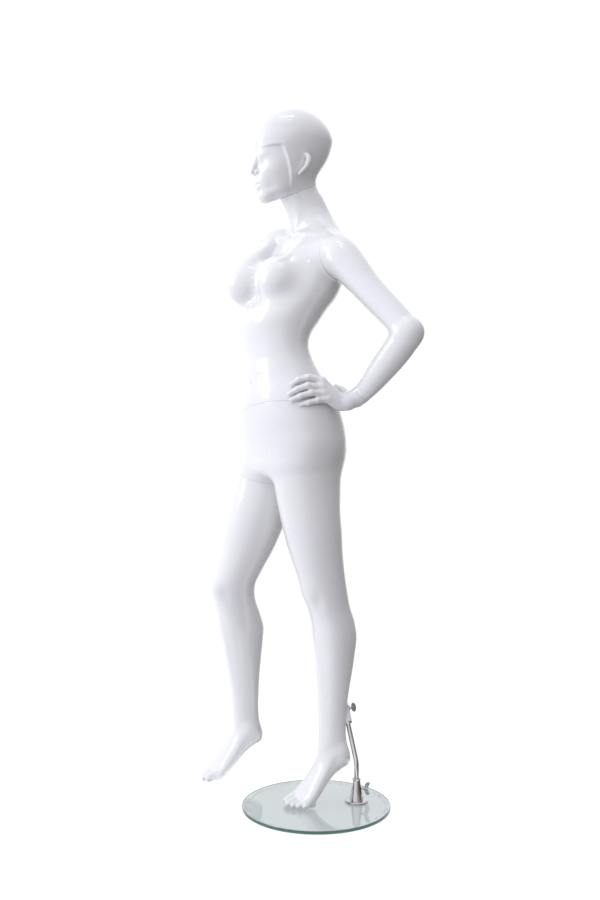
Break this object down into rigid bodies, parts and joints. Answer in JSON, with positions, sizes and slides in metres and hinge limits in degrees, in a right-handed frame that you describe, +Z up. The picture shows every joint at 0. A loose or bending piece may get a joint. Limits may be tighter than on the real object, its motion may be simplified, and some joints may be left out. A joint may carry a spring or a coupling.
{
  "type": "full body mannequin",
  "caption": "Standing female display mannequin with detachable head, arms, hands and leg, held by a calf rod on a round glass base.",
  "frame": {"origin": "centre of the base's underside, on the floor", "axes": "+Z up; the figure faces -Y and her left side is +X"},
  "size_m": [0.6376, 0.38, 1.813],
  "materials": {
    "gloss_white_shell": "high gloss white gel coat over glass-fibre laminate",
    "clear_glass": "tempered float glass, polished edge",
    "clear_rubber": "translucent silicone",
    "black_rubber": "matt black rubber",
    "chrome_plate": "polished chrome plate",
    "fitting_steel": "zinc plated steel",
    "zinc_screws": "zinc plated countersunk screws"
  },
  "bodies": {
    "base": {"glass_base_disc": "clear_glass", "anti_slip_ring": "clear_rubber", "rod_socket": "chrome_plate", "socket_gasket": "black_rubber", "bolt_washer": "black_rubber", "socket_bolt": "chrome_plate"},
    "socket_screw": {"socket_wing_screw": "chrome_plate"},
    "rod": {"calf_rod": "chrome_plate"},
    "lower_body": {"pelvis_and_left_leg": "gloss_white_shell", "calf_tube": "fitting_steel", "calf_tube_nut": "fitting_steel", "calf_ferrule": "chrome_plate", "waist_socket": "fitting_steel", "waist_socket_screws": "zinc_screws", "thigh_socket": "fitting_steel", "thigh_socket_screws": "zinc_screws"},
    "calf_screw": {"calf_wing_screw": "chrome_plate"},
    "right_leg": {"right_leg": "gloss_white_shell", "thigh_peg": "fitting_steel", "thigh_peg_screws": "zinc_screws"},
    "torso": {"torso": "gloss_white_shell", "waist_peg": "fitting_steel", "waist_peg_screws": "zinc_screws", "neck_socket": "fitting_steel", "neck_socket_screws": "zinc_screws", "left_shoulder_socket": "fitting_steel", "left_shoulder_socket_screws": "zinc_screws", "right_shoulder_socket": "fitting_steel", "right_shoulder_socket_screws": "zinc_screws"},
    "head": {"head": "gloss_white_shell", "neck_peg": "fitting_steel", "neck_peg_screws": "zinc_screws"},
    "left_arm": {"left_arm": "gloss_white_shell", "left_shoulder_peg": "fitting_steel", "left_shoulder_peg_screws": "zinc_screws", "left_wrist_socket": "fitting_steel", "left_wrist_socket_screws": "zinc_screws"},
    "right_arm": {"right_arm": "gloss_white_shell", "right_shoulder_peg": "fitting_steel", "right_shoulder_peg_screws": "zinc_screws", "right_wrist_socket": "fitting_steel", "right_wrist_socket_screws": "zinc_screws"},
    "left_hand": {"left_hand": "gloss_white_shell", "left_wrist_peg": "fitting_steel", "left_wrist_peg_screws": "zinc_screws"},
    "right_hand": {"right_hand": "gloss_white_shell", "right_wrist_peg": "fitting_steel", "right_wrist_peg_screws": "zinc_screws"}
  },
  "joints": [
    {"name": "socket_screw_turn", "type": "hinge", "parent": "base", "child": "socket_screw", "pos_m": [0.037, 0.099, 0.044], "axis": [0.5, 0.866, 0], "continuous": true},
    {"name": "rod_turn", "type": "hinge", "parent": "base", "child": "rod", "pos_m": [0.037, 0.099, 0.06], "axis": [0, 0, 1], "range_deg": [-20, 20]},
    {"name": "figure_lift", "type": "slide", "parent": "rod", "child": "lower_body", "axis": [-0.3206, -0.0565, 0.9455], "range_m": [0, 0.15]},
    {"name": "calf_screw_turn", "type": "hinge", "parent": "lower_body", "child": "calf_screw", "pos_m": [-0.00651, 0.09133, 0.24003], "axis": [0.2826, 0.9471, 0.1524], "continuous": true},
    {"name": "right_leg_turn", "type": "hinge", "parent": "lower_body", "child": "right_leg", "pos_m": [-0.184, -0.036, 0.85], "axis": [-0.28, 0, -0.96], "range_deg": [-12, 12]},
    {"name": "torso_lift", "type": "slide", "parent": "lower_body", "child": "torso", "axis": [-0.1505, 0.1845, 0.9712], "range_m": [0, 0.08]},
    {"name": "head_turn", "type": "hinge", "parent": "torso", "child": "head", "pos_m": [-0.091, 0.002, 1.597], "axis": [0, -0.3872, 0.922], "range_deg": [-25, 25]},
    {"name": "left_arm_pull", "type": "slide", "parent": "torso", "child": "left_arm", "axis": [0.9705, 0.1601, 0.1801], "range_m": [0, 0.05]},
    {"name": "right_arm_pull", "type": "slide", "parent": "torso", "child": "right_arm", "axis": [-0.983, 0.0203, 0.1824], "range_m": [0, 0.05]},
    {"name": "left_hand_turn", "type": "hinge", "parent": "left_arm", "child": "left_hand", "pos_m": [0.104, 0.07, 1.061], "axis": [0.6872, 0.2356, 0.6872], "range_deg": [0, 20]},
    {"name": "right_hand_turn", "type": "hinge", "parent": "right_arm", "child": "right_hand", "pos_m": [-0.31, -0.008, 1], "axis": [-0.0499, -0.1496, -0.9875], "range_deg": [-25, 25]}
  ]
}
